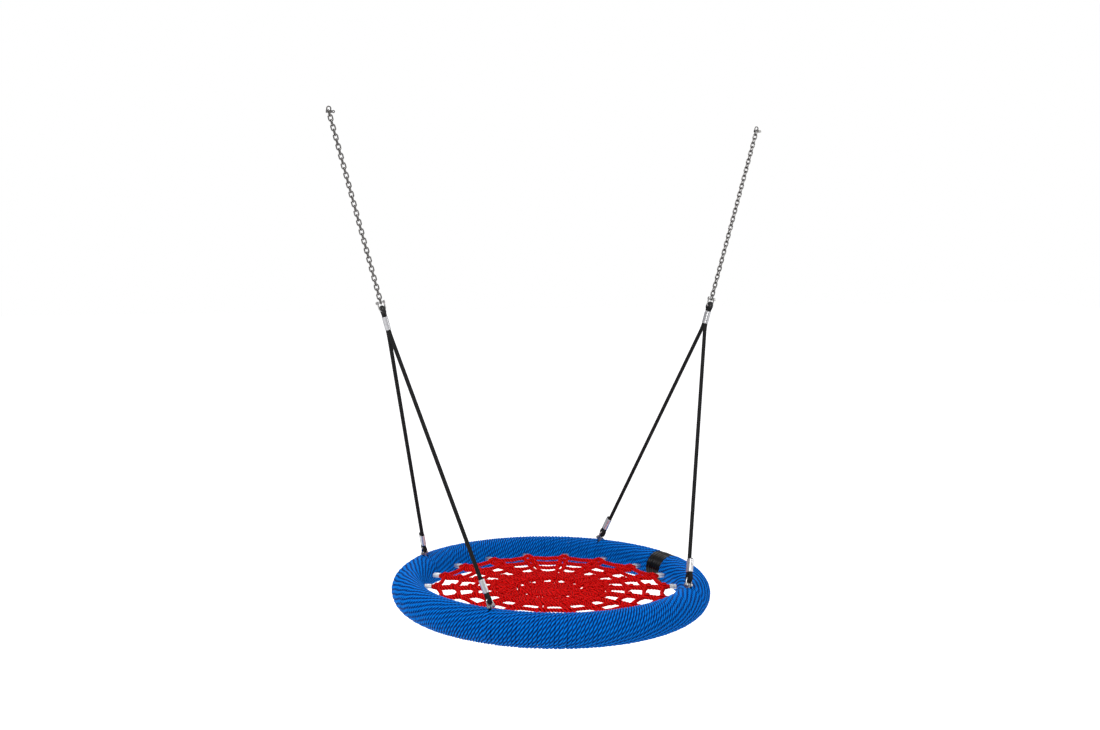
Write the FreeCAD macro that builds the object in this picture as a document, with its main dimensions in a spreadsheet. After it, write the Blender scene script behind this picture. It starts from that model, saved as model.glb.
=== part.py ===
"""Saucer nest swing: a rope-wound ring with a rope net, hung by two rope bridles and two chains.

The frame is +Z up.  The origin is under the middle of the ring, on the level of the ring's lowest
point.  X runs from the left hanging point to the right one, and the seat swings along Y.
All lengths are in millimetres, all angles in degrees.
"""
import FreeCAD, Part

import math
import os

from FreeCAD import Placement, Rotation, Vector

DRIVING = {
    # ring
    "ring_outer_radius": 600.0,
    "rim_radius": 60.0,
    "winding_rope_size": 14.0,
    "steel_tube_radius": 21.2,
    "steel_tube_wall": 3.2,
    "play": 0.3,
    "band_middle_angle": 10.0,
    "band_width_angle": 10.0,
    "band_depth": 4.0,
    # hanging lines
    "lug_angle": 45.0,
    "lean_angle": 15.5,
    "eye_pin_height": 130.0,
    "apex_distance": 1024.0,
    "rope_size": 12.0,
    "thimble_groove_radius": 13.0,
    "thimble_hole_radius": 4.6,
    "thimble_flange_radius": 10.0,
    "thimble_width": 8.0,
    "ferrule_length": 48.0,
    "ferrule_start": 20.5,
    "ferrule_wall": 2.0,
    "eye_neck": 16.0,
    "eye_guard_radius": 7.6,
    # shackles of the rope eyes and of the hanging points
    "eye_shackle_wire": 6.0,
    "eye_shackle_jaw": 13.0,
    "eye_shackle_reach": 27.0,
    "joining_shackle_wire": 5.0,
    "joining_shackle_jaw": 18.0,
    "joining_shackle_reach": 31.0,
    "top_shackle_wire": 4.5,
    "top_shackle_jaw": 9.0,
    "top_shackle_reach": 17.0,
    "pin_play": 0.2,
    # chain
    "link_wire": 5.0,
    "link_pitch": 16.65,
    "link_width": 19.0,
    "link_play": 0.3,
    "link_count": 41,
    # lugs
    "lug_thickness": 6.0,
    "lug_width": 15.0,
    "lug_root": 56.0,
    # net
    "net_rope_size": 12.0,
    "spoke_count": 18,
    "strand_offset": 7.5,
    "row_one_radius": 424.0,
    "row_two_radius": 358.0,
    "row_three_radius": 294.0,
    "row_four_radius": 226.0,
    "band_rows": 6,
    "band_row_pitch": 12.6,
    "star_outer_radius": 112.0,
    "star_inner_radius": 84.0,
    "star_points": 12,
    "hub_rows": 5,
    "hub_knot_radius": 10.0,
    "clip_length": 26.0,
    "clip_wall": 1.6,
}

doc = FreeCAD.newDocument("saucer_nest_swing")
sheet = doc.addObject("Spreadsheet::Sheet", "Sizes")
for row, (alias, value) in enumerate(DRIVING.items(), start=1):
    sheet.set("A%d" % row, alias)
    sheet.set("B%d" % row, str(value))
    sheet.setAlias("B%d" % row, alias)
doc.recompute()


def size(alias):
    """One driving dimension, as the sheet holds it."""
    return float(getattr(sheet, alias))


X = Vector(1, 0, 0)
Y = Vector(0, 1, 0)
Z = Vector(0, 0, 1)

tube_ring_radius = size("ring_outer_radius") - size("rim_radius")
ring_height = size("rim_radius")
rope_radius = size("rope_size") / 2
net_radius = size("net_rope_size") / 2
strand_gap = rope_radius + size("play")
SIDES = {"left": -1, "right": 1}
ENDS = {"front": -1, "back": 1}
nodes = []


# ---------------------------------------------------------------- document helpers

def keep(obj, label):
    """Give a finished sub-part its name and put it in the list of nodes."""
    obj.Label = label
    nodes.append(obj)
    return obj


def primitive(kind, name, **expressions):
    """A Part primitive whose sizes follow the sheet."""
    obj = doc.addObject("Part::" + kind, name)
    for prop, formula in expressions.items():
        obj.setExpression(prop, formula)
    return obj


def at(obj, base=Vector(), rotation=None):
    obj.Placement = Placement(base, rotation or Rotation())
    return obj


def cut(name, base, tool):
    obj = doc.addObject("Part::Cut", name)
    obj.Base = base
    obj.Tool = tool
    return obj


def fuse(name, shapes):
    obj = doc.addObject("Part::MultiFuse", name)
    obj.Shapes = shapes
    return obj


def feature(name, shape):
    obj = doc.addObject("Part::Feature", name)
    obj.Shape = shape
    return obj


def frame_rotation(x_axis, z_axis):
    """The rotation that takes local X and Z to two square directions."""
    return Rotation(x_axis, z_axis.cross(x_axis), z_axis, "ZXY")


# ---------------------------------------------------------------- hanging plane of one side

class HangingPlane:
    """The leaning plane that holds one rope bridle, its chain and its two lugs."""

    def __init__(self, side):
        lean = math.radians(size("lean_angle"))
        self.up = Vector(side * math.sin(lean), 0, math.cos(lean))
        self.normal = Vector(math.cos(lean), 0, -side * math.sin(lean))
        lug_turn = math.radians(size("lug_angle"))
        self.half_span = tube_ring_radius * math.sin(lug_turn)
        self.foot = Vector(side * tube_ring_radius * math.cos(lug_turn), 0, size("eye_pin_height"))

    def point(self, across, along):
        return self.foot + Y * across + self.up * along

    def direction(self, across, along):
        return Y * across + self.up * along


def leg_angle(half_span, corner_along):
    """Lean of a rope leg in its plane, so that it enters its ferrule parallel to the eye's axis."""
    reach = half_span - strand_gap
    bearing = math.atan2(corner_along, reach)
    return math.acos(strand_gap / math.hypot(reach, corner_along)) - bearing


# ---------------------------------------------------------------- paths and tubes

def rounded_path(points, radii=None, closed=False):
    """Straight runs joined by tangent arcs, one arc at each inner point of the route."""
    radii = radii or {}
    count = len(points)
    corners = range(count) if closed else range(1, count - 1)
    entry = {}
    leave = {}
    middle = {}
    used = []
    for i in corners:
        here = points[i]
        before = points[i - 1] - here
        after = points[(i + 1) % count] - here
        turn = math.pi - before.getAngle(after)
        shorter = min(before.Length, after.Length)
        radius = radii.get(i, 0.45 * shorter / math.tan(turn / 2))
        tangent = radius * math.tan(turn / 2)
        before.normalize()
        after.normalize()
        entry[i] = here + before * tangent
        leave[i] = here + after * tangent
        bisector = (before + after).normalize()
        centre = here + bisector * (radius / math.cos(turn / 2))
        middle[i] = centre - bisector * radius
        used.append(radius)
    edges = []
    last = count if closed else count - 1
    for i in range(last):
        start = leave.get(i, points[i])
        end = entry.get((i + 1) % count, points[(i + 1) % count])
        if (end - start).Length > 1e-6:
            edges.append(Part.LineSegment(start, end).toShape())
        j = (i + 1) % count
        if j in entry:
            edges.append(Part.Arc(entry[j], middle[j], leave[j]).toShape())
    return Part.Wire(edges), used


def tube(path, radius):
    """A round rope or wire along a path."""
    first = path.Edges[0]
    start = first.valueAt(first.FirstParameter)
    tangent = first.tangentAt(first.FirstParameter)
    profile = Part.Wire([Part.Circle(start, tangent, radius).toShape()])
    solid = path.makePipeShell([profile], True, True)
    if solid.ShapeType != "Solid":
        solid = Part.Solid(Part.Shell(solid.Faces))
    return solid


def report_tube(label, solid, path, radius, radii):
    expected = math.pi * radius * radius * path.Length
    print("%s: length %.1f, volume over section times length %.4f, radii from %.1f to %.1f"
          % (label, path.Length, solid.Volume / expected, min(radii), max(radii)))


# ---------------------------------------------------------------- shackles

def shackle_bow(label, kind, base, rotation):
    """A D-shackle's bow with its two drilled ears.  Local Z is the pull, the pin lies along local X."""
    wire = "Sizes.%s_wire" % kind
    jaw = "Sizes.%s_jaw" % kind
    reach = "Sizes.%s_reach" % kind
    half = (size(kind + "_jaw") + size(kind + "_wire")) / 2
    straight = size(kind + "_reach") - half
    crown = primitive("Torus", label + "_crown", Radius1="(%s + %s) / 2" % (jaw, wire),
                      Radius2="%s / 2" % wire, Angle3="180")
    at(crown, Z * straight, Rotation(X, 90))
    pieces = [crown]
    for side in (-1, 1):
        leg = primitive("Cylinder", label + "_leg", Radius="%s / 2" % wire,
                        Height="%s - (%s + %s) / 2 - 0.8 * %s" % (reach, jaw, wire, wire))
        at(leg, Vector(side * half, 0, 0.8 * size(kind + "_wire")))
        ear = primitive("Cylinder", label + "_ear", Radius="%s * 1.2" % wire, Height="%s * 1.1" % wire)
        at(ear, X * (side * half - 0.55 * size(kind + "_wire")), Rotation(Y, 90))
        pieces += [leg, ear]
    body = fuse(label + "_body", pieces)
    hole = primitive("Cylinder", label + "_hole", Radius="%s / 2 + Sizes.pin_play" % wire,
                     Height="%s + 4 * %s" % (jaw, wire))
    at(hole, X * (-size(kind + "_jaw") / 2 - 2 * size(kind + "_wire")), Rotation(Y, 90))
    return keep(at(cut(label, body, hole), base, rotation), label)


def socket_pin(label, kind, base, rotation, head_side):
    """A flush pin with a hexagon socket in its low head."""
    wire = size(kind + "_wire")
    grip = size(kind + "_jaw") / 2 + wire
    head_height = 3.5
    socket_depth = 2.5
    thread_end = 1.5
    shaft = primitive("Cylinder", label + "_shaft", Radius="Sizes.%s_wire / 2" % kind,
                      Height="Sizes.%s_jaw + 2 * Sizes.%s_wire + %g" % (kind, kind, thread_end))
    at(shaft, X * -grip, Rotation(Y, 90))
    head = primitive("Cylinder", label + "_head", Radius="Sizes.%s_wire * 0.95" % kind,
                     Height="%g" % head_height)
    head_face = grip + head_height + size("play")
    at(head, X * -head_face, Rotation(Y, 90))
    neck = primitive("Cylinder", label + "_neck", Radius="Sizes.%s_wire / 2" % kind, Height="1")
    at(neck, X * -(grip + 0.5), Rotation(Y, 90))
    body = fuse(label + "_body", [shaft, head, neck])
    socket = primitive("Prism", label + "_socket", Circumradius="Sizes.%s_wire * 0.55" % kind,
                       Height="%g + 0.1" % socket_depth)
    socket.Polygon = 6
    at(socket, X * -(head_face + 0.1), Rotation(Y, 90))
    turn = Rotation() if head_side < 0 else Rotation(Z, 180)
    return keep(at(cut(label, body, socket), base, rotation * turn), label)


def eye_pin(label, kind, base, rotation):
    """A screw pin with a flat drilled thumb eye on its end towards +X."""
    wire = size(kind + "_wire")
    grip = size(kind + "_jaw") / 2 + wire
    eye_radius = 1.15 * wire
    shaft = primitive("Cylinder", label + "_shaft", Radius="Sizes.%s_wire / 2" % kind,
                      Height="Sizes.%s_jaw + 2 * Sizes.%s_wire + 3" % (kind, kind))
    at(shaft, X * (-grip - 1), Rotation(Y, 90))
    collar = primitive("Cylinder", label + "_collar", Radius="Sizes.%s_wire * 0.85" % kind, Height="2")
    at(collar, X * (grip + size("play")), Rotation(Y, 90))
    disc = primitive("Cylinder", label + "_disc", Radius="Sizes.%s_wire * 1.15" % kind,
                     Height="Sizes.%s_wire * 0.6" % kind)
    eye_middle = grip + size("play") + 2 + eye_radius * 0.9
    at(disc, Vector(eye_middle, wire * 0.3, 0), Rotation(X, 90))
    body = fuse(label + "_body", [shaft, collar, disc])
    hole = primitive("Cylinder", label + "_hole", Radius="Sizes.%s_wire * 0.5" % kind,
                     Height="Sizes.%s_wire * 2" % kind)
    at(hole, Vector(eye_middle, wire, 0), Rotation(X, 90))
    return keep(at(cut(label, body, hole), base, rotation), label)


# ---------------------------------------------------------------- rope eyes

def thimble(label, base, rotation):
    """A grooved round thimble; local X is its axis."""
    drum = primitive("Cylinder", label + "_drum", Radius="Sizes.thimble_flange_radius",
                     Height="Sizes.thimble_width")
    at(drum, X * (-size("thimble_width") / 2), Rotation(Y, 90))
    groove = primitive("Torus", label + "_groove", Radius1="Sizes.thimble_groove_radius",
                       Radius2="Sizes.rope_size / 2 + Sizes.play")
    at(groove, Vector(), Rotation(Y, 90))
    bore = primitive("Cylinder", label + "_bore", Radius="Sizes.thimble_hole_radius",
                     Height="Sizes.thimble_width + 2")
    at(bore, X * (-size("thimble_width") / 2 - 1), Rotation(Y, 90))
    tools = fuse(label + "_tools", [groove, bore])
    return keep(at(cut(label, drum, tools), base, rotation), label)


def eye_guard(label, base, rotation):
    """A plastic tube bent round the rope's turn; local X is the axis of the turn, Z leads to the ferrule."""
    sweep = 216.0
    outside = primitive("Torus", label + "_outside", Radius1="Sizes.thimble_groove_radius",
                        Radius2="Sizes.eye_guard_radius", Angle3="%g" % sweep)
    inside = primitive("Torus", label + "_inside", Radius1="Sizes.thimble_groove_radius",
                       Radius2="Sizes.rope_size / 2 + Sizes.play")
    half = math.radians(sweep / 2)
    for torus in (outside, inside):
        at(torus, Vector(), frame_rotation(Y * -math.sin(half) - Z * math.cos(half), X))
    return keep(at(cut(label, outside, inside), base, rotation), label)


def stadium(name, radius, spacing, length, start):
    """An oval bar along local Z, its long side along local Y."""
    pieces = []
    for side in (-1, 1):
        round_end = primitive("Cylinder", name + "_end", Height=length)
        round_end.Radius = radius
        at(round_end, Vector(0, side * spacing, start))
        pieces.append(round_end)
    flat = primitive("Box", name + "_flat", Height=length)
    flat.Length = 2 * radius
    flat.Width = 2 * spacing
    at(flat, Vector(-radius, -spacing, start))
    return fuse(name, pieces + [flat])


def ferrule(label, base, rotation):
    """An oval aluminium sleeve pressed over the two strands of an eye; local Z leads away from the eye."""
    tuck = 0.9
    outer = stadium(label + "_outer", strand_gap + size("ferrule_wall") + tuck, strand_gap - tuck,
                    "Sizes.ferrule_length", size("ferrule_start"))
    inner = stadium(label + "_inner", strand_gap, strand_gap, "Sizes.ferrule_length + 2",
                    size("ferrule_start") - 1)
    return keep(at(cut(label, outer, inner), base, rotation), label)


def eye_route(centre, across, along, neck_first):
    """Route points of a rope eye round its thimble, from one strand's neck to the other's."""
    groove = size("thimble_groove_radius")
    neck = size("eye_neck")
    slant = math.asin(groove / math.hypot(strand_gap, neck)) - math.atan2(strand_gap, neck)
    corners = 4
    step = (math.pi + 2 * slant) / corners
    corner_radius = groove / math.cos(step / 2)
    points = [(strand_gap, neck)]
    for i in range(corners):
        turn = slant - step * (i + 0.5)
        points.append((corner_radius * math.cos(turn), corner_radius * math.sin(turn)))
    points.append((-strand_gap, neck))
    if neck_first < 0:
        points = [(-u, v) for u, v in points]
    return [centre + across * u + along * v for u, v in points]


def rope_bridle(plane):
    """Route of one side's rope: tail, front eye, front leg, apex eye, back leg, back eye, tail."""
    fork_distance = 8.0
    tail_beyond = 3.0
    ferrule_end = size("ferrule_start") + size("ferrule_length")
    corner_along = size("apex_distance") - ferrule_end - fork_distance
    lean = leg_angle(plane.half_span, corner_along)
    tail = ferrule_end + tail_beyond
    reach = size("eye_shackle_reach")
    axes = {}
    for end, sign in ENDS.items():
        along = plane.direction(-sign * math.sin(lean), math.cos(lean))
        inward = plane.direction(-sign * math.cos(lean), -math.sin(lean))
        thimble_centre = plane.point(sign * plane.half_span, 0) + along * reach
        axes[end] = (thimble_centre, inward, along)
    apex = plane.point(0, size("apex_distance"))
    down = plane.up * -1

    front_centre, front_in, front_along = axes["front"]
    front = eye_route(front_centre, front_in, front_along, -1)
    front.insert(0, front_centre - front_in * strand_gap + front_along * tail)
    top = [plane.point(-strand_gap, corner_along)]
    top += eye_route(apex, Y, down, -1)
    top.append(plane.point(strand_gap, corner_along))
    back_centre, back_in, back_along = axes["back"]
    back = eye_route(back_centre, back_in, back_along, 1)
    back.append(back_centre - back_in * strand_gap + back_along * tail)

    points = front + top + back
    neck_radius = 20.0
    fork_radius = 36.0
    radii = {1: neck_radius, 6: neck_radius, 7: fork_radius, 8: neck_radius, 13: neck_radius,
             14: fork_radius, 15: neck_radius, 20: neck_radius}
    return points, radii, axes, apex


def hanging_side(name, side):
    """Rope, thimbles, ferrules, shackles, lugs, chain and top shackle of one side."""
    plane = HangingPlane(side)
    points, radii, axes, apex = rope_bridle(plane)
    path, used = rounded_path(points, radii)
    rope = tube(path, rope_radius)
    report_tube(name + "_rope", rope, path, rope_radius, used)
    keep(feature(name + "_rope", rope), name + "_rope")

    for end, sign in ENDS.items():
        centre, inward, along = axes[end]
        turn = frame_rotation(plane.normal, along)
        pin_point = plane.point(sign * plane.half_span, 0)
        corner = "%s_%s" % (end, name)
        thimble(corner + "_thimble", centre, turn)
        ferrule(corner + "_ferrule", centre, turn)
        shackle_bow(corner + "_shackle_bow", "eye_shackle", pin_point, turn)
        socket_pin(corner + "_shackle_pin", "eye_shackle", pin_point, turn, -1)
        ring_lug(corner + "_ring_lug", plane, pin_point)

    down = frame_rotation(plane.normal, plane.up * -1)
    eye_guard(name + "_apex_thimble", apex, down)
    ferrule(name + "_apex_ferrule", apex, down)
    join_pin = apex + plane.up * size("joining_shackle_reach")
    shackle_bow(name + "_joining_shackle_bow", "joining_shackle", join_pin, down)
    socket_pin(name + "_joining_shackle_pin", "joining_shackle", join_pin, down, side)
    top_pin = chain(name + "_chain", plane, join_pin)
    shackle_bow(name + "_top_shackle_bow", "top_shackle", top_pin, Rotation())
    eye_pin(name + "_top_shackle_pin", "top_shackle", top_pin, Rotation())
    print(name, "apex", apex, "top pin", top_pin)


# ---------------------------------------------------------------- chain

def chain(label, plane, start):
    """Short-link chain from one pin up to the next; returns the upper pin's middle."""
    wire = size("link_wire") / 2
    bend = size("link_width") / 2 - wire
    half_straight = size("link_pitch") / 2 + size("link_play") / 2 + wire - bend
    inner_reach = half_straight + bend - wire
    a = Vector(0, bend, -half_straight)
    b = Vector(0, bend, half_straight)
    c = Vector(0, -bend, half_straight)
    d = Vector(0, -bend, -half_straight)
    path = Part.Wire([
        Part.LineSegment(a, b).toShape(),
        Part.Arc(b, Vector(0, 0, half_straight + bend), c).toShape(),
        Part.LineSegment(c, d).toShape(),
        Part.Arc(d, Vector(0, 0, -half_straight - bend), a).toShape(),
    ])
    link = tube(path, wire)
    lower_pin = size("joining_shackle_wire") / 2
    upper_pin = size("top_shackle_wire") / 2
    first = inner_reach - lower_pin - size("link_play")
    count = int(size("link_count"))
    links = []
    for i in range(count):
        turn = frame_rotation(plane.normal, plane.up)
        if i % 2:
            turn = turn * Rotation(Z, 90)
        centre = start + plane.up * (first + i * size("link_pitch"))
        copy = link.copy()
        copy.Placement = Placement(centre, turn)
        links.append(copy)
    keep(feature(label, Part.makeCompound(links)), label)
    reach = first + (count - 1) * size("link_pitch") + inner_reach - upper_pin - size("link_play")
    return start + plane.up * reach


# ---------------------------------------------------------------- ring

def ring_lug(label, plane, pin_point):
    """A drilled plate on the ring's tube, in the plane of the pull."""
    body = doc.addObject("PartDesign::Body", label + "_body")
    sketch = body.newObject("Sketcher::SketchObject", label + "_outline")
    origin_plane = [f for f in body.Origin.OriginFeatures if f.Role == "YZ_Plane"][0]
    sketch.AttachmentSupport = [(origin_plane, "")]
    sketch.MapMode = "FlatFace"
    half = size("lug_width") / 2
    root = -size("lug_root")
    sketch.addGeometry(Part.LineSegment(Vector(-half, 0, 0), Vector(-half, root, 0)))
    sketch.addGeometry(Part.LineSegment(Vector(-half, root, 0), Vector(half, root, 0)))
    sketch.addGeometry(Part.LineSegment(Vector(half, root, 0), Vector(half, 0, 0)))
    sketch.addGeometry(Part.ArcOfCircle(Part.Circle(Vector(), Z, half), 0, math.pi))
    sketch.addGeometry(Part.Circle(Vector(), Z, size("eye_shackle_wire") / 2 + size("pin_play")))
    pad = body.newObject("PartDesign::Pad", label + "_plate")
    pad.Profile = sketch
    pad.Midplane = True
    pad.setExpression("Length", "Sizes.lug_thickness")
    at(body, pin_point, frame_rotation(plane.normal, plane.up))
    saddle = ring_torus(label + "_saddle", "Sizes.steel_tube_radius + Sizes.play")
    return keep(cut(label, body, saddle), label)


def ring_torus(name, tube_formula, start_angle=None, sweep_formula=None):
    """A full or partial torus about the ring's centreline."""
    torus = primitive("Torus", name, Radius1="Sizes.ring_outer_radius - Sizes.rim_radius",
                      Radius2=tube_formula)
    turn = Rotation()
    if sweep_formula:
        torus.setExpression("Angle3", sweep_formula)
        turn = Rotation(Z, start_angle)
    return at(torus, Z * ring_height, turn)


def spoke_angles():
    count = int(size("spoke_count"))
    return [360.0 / count * i for i in range(count)]


def lug_slots():
    """Room for the four lugs, by the angle of each lug on the ring."""
    clearance = size("play")
    width = size("lug_width") + 4 * clearance
    thick = size("lug_thickness") + 4 * clearance
    depth = 2 * size("lug_root")
    slots = {}
    for side in SIDES.values():
        plane = HangingPlane(side)
        for sign in ENDS.values():
            pin_point = plane.point(sign * plane.half_span, 0)
            slot = Part.makeBox(thick, width, depth, Vector(-thick / 2, -width / 2, -0.75 * depth))
            slot.Placement = Placement(pin_point, frame_rotation(plane.normal, plane.up))
            slots[math.degrees(math.atan2(pin_point.y, pin_point.x)) % 360] = slot
    return slots


def strand_bores(start, sweep):
    """Bores through the winding for the net's strands, on the spokes of one sector."""
    bores = []
    inner_face = tube_ring_radius - size("rim_radius")
    for angle in spoke_angles():
        if (angle - start) % 360 > sweep:
            continue
        turn = Rotation(Z, angle)
        for sign in (-1, 1):
            base = turn.multVec(Vector(inner_face - 8, sign * size("strand_offset"), ring_height))
            bores.append(Part.makeCylinder(net_radius + size("play"), 40, base, turn.multVec(X)))
    return bores


def anchor_radius():
    return size("steel_tube_radius") + size("play") + net_radius


def anchor_loops():
    """The net's strand ends, looped round the steel tube under the foam."""
    loops = []
    for angle in spoke_angles():
        turn = Rotation(Z, angle)
        for sign in (-1, 1):
            base = turn.multVec(Vector(tube_ring_radius, sign * size("strand_offset"), ring_height))
            loops.append(Part.makeTorus(anchor_radius(), net_radius, base, turn.multVec(Y)))
    keep(feature("net_anchor_loops", Part.makeCompound(loops)), "net_anchor_loops")


def foam_pieces(slots):
    """Foam sleeves round the steel tube, one between each pair of anchor loops."""
    outer_radius = size("rim_radius") - size("winding_rope_size") - size("play")
    inner_radius = size("steel_tube_radius") + size("play")
    step = 360.0 / size("spoke_count")
    room = size("strand_offset") + net_radius + 2 * size("play")
    gap = 2 * math.degrees(math.asin(room / (tube_ring_radius - outer_radius)))
    middle = Vector(tube_ring_radius, 0, ring_height)
    discs = [Part.Face(Part.Wire([Part.Circle(middle, Y, r).toShape()])) for r in (outer_radius, inner_radius)]
    section = discs[0].cut(discs[1])
    pieces = []
    for angle in spoke_angles():
        piece = section.revolve(Vector(), Z, step - gap)
        piece.rotate(Vector(), Z, angle + gap / 2)
        for slot_angle, slot in slots.items():
            if 0 < slot_angle - angle < step:
                piece = piece.cut(slot)
        pieces += piece.Solids
    keep(feature("ring_foam", Part.makeCompound(pieces)), "ring_foam")


def ring():
    """Steel tube, foam sleeve, rope winding, lashing and the loops that hold the net."""
    outside = ring_torus("ring_tube_outside", "Sizes.steel_tube_radius")
    inside = ring_torus("ring_tube_inside", "Sizes.steel_tube_radius - Sizes.steel_tube_wall")
    keep(cut("ring_tube", outside, inside), "ring_tube")
    slots = lug_slots()
    anchor_loops()
    foam_pieces(slots)

    start = size("band_middle_angle") - size("band_width_angle") / 2
    bed = "Sizes.rim_radius - Sizes.band_depth"
    over = ring_torus("rim_lashing_outside", "Sizes.rim_radius", start, "Sizes.band_width_angle")
    under = ring_torus("rim_lashing_inside", bed)
    keep(cut("rim_lashing", over, under), "rim_lashing")
    room_over = ring_torus("lashing_room_outside", "Sizes.rim_radius + 1", start - 0.05,
                           "Sizes.band_width_angle + 0.1")
    room_under = ring_torus("lashing_room_inside", bed + " - Sizes.play")
    lashing_room = cut("lashing_room", room_over, room_under)

    sector_gap = 1.5
    for i, name in enumerate(["right", "back", "left", "front"]):
        label = "rim_winding_" + name
        start = -size("lug_angle") + 90.0 * i + sector_gap
        outer = ring_torus(label + "_outside", "Sizes.rim_radius", start, "90 - %g" % (2 * sector_gap))
        inner = ring_torus(label + "_inside", "Sizes.rim_radius - Sizes.winding_rope_size")
        sleeve = cut(label + "_sleeve", outer, inner)
        if name == "right":
            sleeve = cut(label + "_bed", sleeve, lashing_room)
        room = feature(label + "_room", Part.makeCompound(strand_bores(start, 90.0) + list(slots.values())))
        keep(cut(label, sleeve, room), label)


# ---------------------------------------------------------------- net

def polar(radius, degrees, across=0.0):
    """A point at net height: so far out along a spoke, and so far to its left."""
    angle = math.radians(degrees)
    out = Vector(math.cos(angle), math.sin(angle), 0)
    left = Vector(-math.sin(angle), math.cos(angle), 0)
    return out * radius + left * across + Z * ring_height


def loop_row(spokes, head_radius, foot_radius, offset, corner_radius):
    """A closed rope row: a narrow loop on each spoke, and a flat bight between neighbours."""
    step = 360.0 / spokes
    half_step = math.radians(step / 2)
    # the bight's line, square to the middle of its sector, meets the strand beside the spoke here
    meet = (foot_radius - offset * math.sin(half_step)) / math.cos(half_step)
    points = []
    radii = {}
    for i in range(spokes):
        angle = step * i
        for radius, across in ((meet, -offset), (head_radius, -offset), (head_radius, offset), (meet, offset)):
            radii[len(points)] = corner_radius if radius == meet else offset * 0.98
            points.append(polar(radius, angle, across))
    return rounded_path(points, radii, closed=True)


def row_node(label, spokes, head_radius, foot_radius, offset, corner_radius):
    path, used = loop_row(spokes, head_radius, foot_radius, offset, corner_radius)
    solid = tube(path, net_radius)
    report_tube(label, solid, path, net_radius, used)
    keep(feature(label, solid), label)


def net():
    """Clips, four open rows, the close band, the star of holes and the hub."""
    spokes = int(size("spoke_count"))
    offset = size("strand_offset")
    rows = ["one", "two", "three", "four"]
    feet = [size("row_%s_radius" % row) for row in rows]

    # the outermost row's strands run on through the clips into the ring
    step = 360.0 / spokes
    half_step = math.radians(step / 2)
    meet = (feet[0] - offset * math.sin(half_step)) / math.cos(half_step)
    end_radius = tube_ring_radius - anchor_radius() - net_radius - size("play")
    bights = []
    for i in range(spokes):
        a = step * i
        b = step * (i + 1)
        points = [polar(end_radius, a, offset), polar(meet, a, offset),
                  polar(meet, b, -offset), polar(end_radius, b, -offset)]
        path, used = rounded_path(points, {1: 26.0, 2: 26.0})
        bights.append(tube(path, net_radius))
    report_tube("net_row_1 bight", bights[-1], path, net_radius, used)
    keep(feature("net_row_1", Part.makeCompound(bights)), "net_row_1")

    corner_radii = [24.0, 20.0, 15.0]
    for i in range(1, len(rows)):
        head = feet[i - 1] - 15.0 + offset
        row_node("net_row_%d" % (i + 1), spokes, head, feet[i], offset, corner_radii[i - 1])

    pitch = size("band_row_pitch")
    middle = Z * ring_height
    band = [Part.makeTorus(feet[-1] - 24.0 - pitch * i, net_radius, middle) for i in range(int(size("band_rows")))]
    keep(feature("net_close_band", Part.makeCompound(band)), "net_close_band")

    star_head = size("star_outer_radius") + net_radius
    row_node("net_star_row", int(size("star_points")), star_head, size("star_inner_radius"), 6.8, 8.0)

    hub_outer = size("star_inner_radius") - pitch
    hub = [Part.makeTorus(hub_outer - pitch * i, net_radius, middle) for i in range(int(size("hub_rows")))]
    hub.append(Part.makeSphere(size("hub_knot_radius"), middle))
    keep(feature("net_hub", Part.makeCompound(hub)), "net_hub")

    length = size("clip_length")
    wall = size("clip_wall")
    bore_radius = net_radius + size("play")
    clips = []
    for angle in spoke_angles():
        turn = Rotation(Z, angle)
        outer = Part.makeBox(length, 2 * (offset + bore_radius + wall), 2 * (bore_radius + wall),
                             Vector(0, -(offset + bore_radius + wall), -(bore_radius + wall)))
        outer = outer.makeFillet(bore_radius * 0.8, [e for e in outer.Edges if abs(e.tangentAt(0).x) > 0.9])
        inner = Part.makeBox(length + 2, 2 * offset, 2 * bore_radius, Vector(-1, -offset, -bore_radius))
        for sign in (-1, 1):
            inner = inner.fuse(Part.makeCylinder(bore_radius, length + 2, Vector(-1, sign * offset, 0), X))
        clip = outer.cut(inner)
        start = tube_ring_radius - size("rim_radius") - length - 1.0
        clip.Placement = Placement(turn.multVec(X * start) + middle, turn)
        clips.append(clip)
    keep(feature("net_clips", Part.makeCompound(clips)), "net_clips")


# ---------------------------------------------------------------- whole swing

ring()
net()
for side_name, side_sign in SIDES.items():
    hanging_side(side_name, side_sign)
doc.recompute()

for obj in doc.Objects:
    if "Invalid" in obj.State or "Error" in obj.State:
        raise RuntimeError("%s failed: %s" % (obj.Label, obj.State))
for node in nodes:
    if node.Shape.isNull() or not node.Shape.isValid():
        raise RuntimeError("%s has no valid shape" % node.Label)

os.makedirs("parts", exist_ok=True)
for node in nodes:
    node.Shape.exportStep("parts/%s.step" % node.Label)
print(len(nodes), "nodes written")
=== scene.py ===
"""Looks of the saucer nest swing: ropes, net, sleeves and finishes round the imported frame.  Metres."""

import math

import bpy
import numpy as np
from mathutils import Matrix, Vector


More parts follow.
